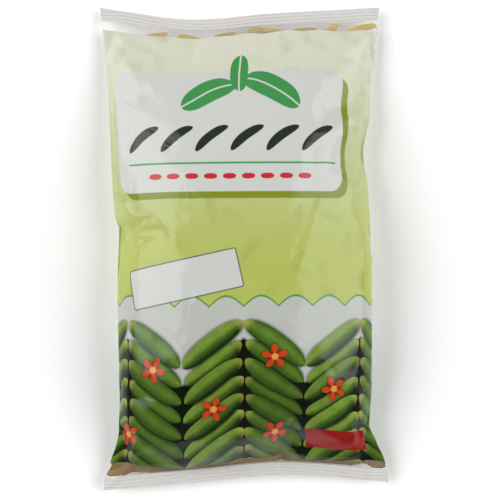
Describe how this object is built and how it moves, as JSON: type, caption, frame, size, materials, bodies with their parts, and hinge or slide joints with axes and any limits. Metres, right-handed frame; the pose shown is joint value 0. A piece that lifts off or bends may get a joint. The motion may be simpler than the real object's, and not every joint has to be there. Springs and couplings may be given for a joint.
{
  "type": "sealed pillow bag of sliced green beans",
  "caption": "Soft sealed plastic pillow bag lying on its back, filled with sliced green beans in brine, with a crimped seal across each end and a lap seam down the back.",
  "frame": {"origin": "on the surface that the bag lies on, under the middle of its outline", "axes": "+X to the bag's right as its front is read, +Y along the bag towards its top seal, +Z out of its printed front"},
  "size_m": [0.1322, 0.2216, 0.0436],
  "materials": {
    "printed_film": "glossy printed film",
    "bean": "moist cooked bean",
    "brine": "cloudy olive liquid"
  },
  "bodies": {
    "root": {"film_bag": "printed_film", "bean_slices": "bean", "brine": "brine"}
  },
  "joints": []
}
